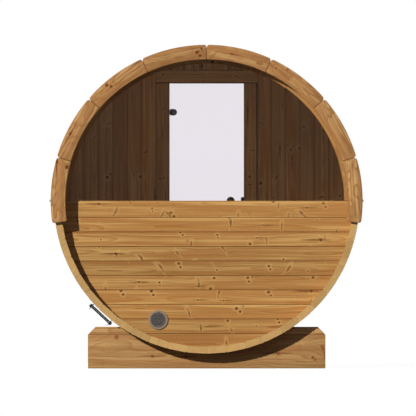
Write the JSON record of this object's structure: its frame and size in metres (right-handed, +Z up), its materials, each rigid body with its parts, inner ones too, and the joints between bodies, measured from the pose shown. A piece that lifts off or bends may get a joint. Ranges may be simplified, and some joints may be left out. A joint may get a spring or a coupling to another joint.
{
  "type": "barrel sauna",
  "caption": "Wooden barrel sauna of tongued staves on two cradles, with an arched trim, a half-moon window end and a hinged glass door.",
  "frame": {"origin": "on the ground, under the middle of the barrel", "axes": "+Z up; the barrel axis runs along Y, with the window end at -Y and the door end at +Y"},
  "size_m": [2.122, 2.056, 2.1799],
  "materials": {
    "stave_wood": "planed heat-treated softwood",
    "wall_wood": "planed heat-treated softwood boards",
    "trim_wood": "planed heat-treated softwood",
    "cradle_wood": "sawn heat-treated softwood",
    "floor_wood": "planed softwood",
    "frame_wood": "planed heat-treated softwood",
    "knob_wood": "turned and oiled wood",
    "clear_glass": "clear toughened glass",
    "hoop_steel": "dull steel strap",
    "black_steel": "black coated steel",
    "vent_collar_grey": "moulded grey plastic",
    "vent_grille_dark": "moulded dark grey plastic"
  },
  "bodies": {
    "barrel": {"door_catch": "black_steel", "door_cradle_beam": "cradle_wood", "door_cradle_blocks": "cradle_wood", "door_head": "frame_wood", "door_hinge_brackets": "black_steel", "door_hoop": "hoop_steel", "door_jamb_left": "frame_wood", "door_jamb_right": "frame_wood", "door_threshold": "frame_wood", "door_trim_crown": "trim_wood", "door_trim_foot": "trim_wood", "door_trim_shoulder": "trim_wood", "door_trim_side": "trim_wood", "door_wall_left": "wall_wood", "door_wall_over": "wall_wood", "door_wall_right": "wall_wood", "door_wall_under": "wall_wood", "floor_bearers": "floor_wood", "floor_slats": "floor_wood", "hoop_splice_bolts": "black_steel", "hoop_tension_nuts": "black_steel", "hoop_tension_rods": "black_steel", "staves_bottom": "stave_wood", "staves_left": "stave_wood", "staves_right": "stave_wood", "staves_top": "stave_wood", "vent_collar": "vent_collar_grey", "vent_grille": "vent_grille_dark", "window_arch": "wall_wood", "window_cradle_beam": "cradle_wood", "window_cradle_blocks": "cradle_wood", "window_hoop": "hoop_steel", "window_pane": "clear_glass", "window_sill_board": "wall_wood", "window_trim_crown": "trim_wood", "window_trim_foot": "trim_wood", "window_trim_shoulder": "trim_wood", "window_trim_side": "trim_wood", "window_wall_boards": "wall_wood"},
    "door": {"door_glass": "clear_glass", "door_hinge_discs": "black_steel", "door_hinge_arms": "black_steel", "door_knob": "knob_wood", "door_pull": "knob_wood"}
  },
  "joints": [
    {"name": "door_hinge", "type": "hinge", "parent": "barrel", "child": "door", "pos_m": [-0.283, 0.949, 1.13], "axis": [0, 0, 1], "range_deg": [0, 110]}
  ]
}
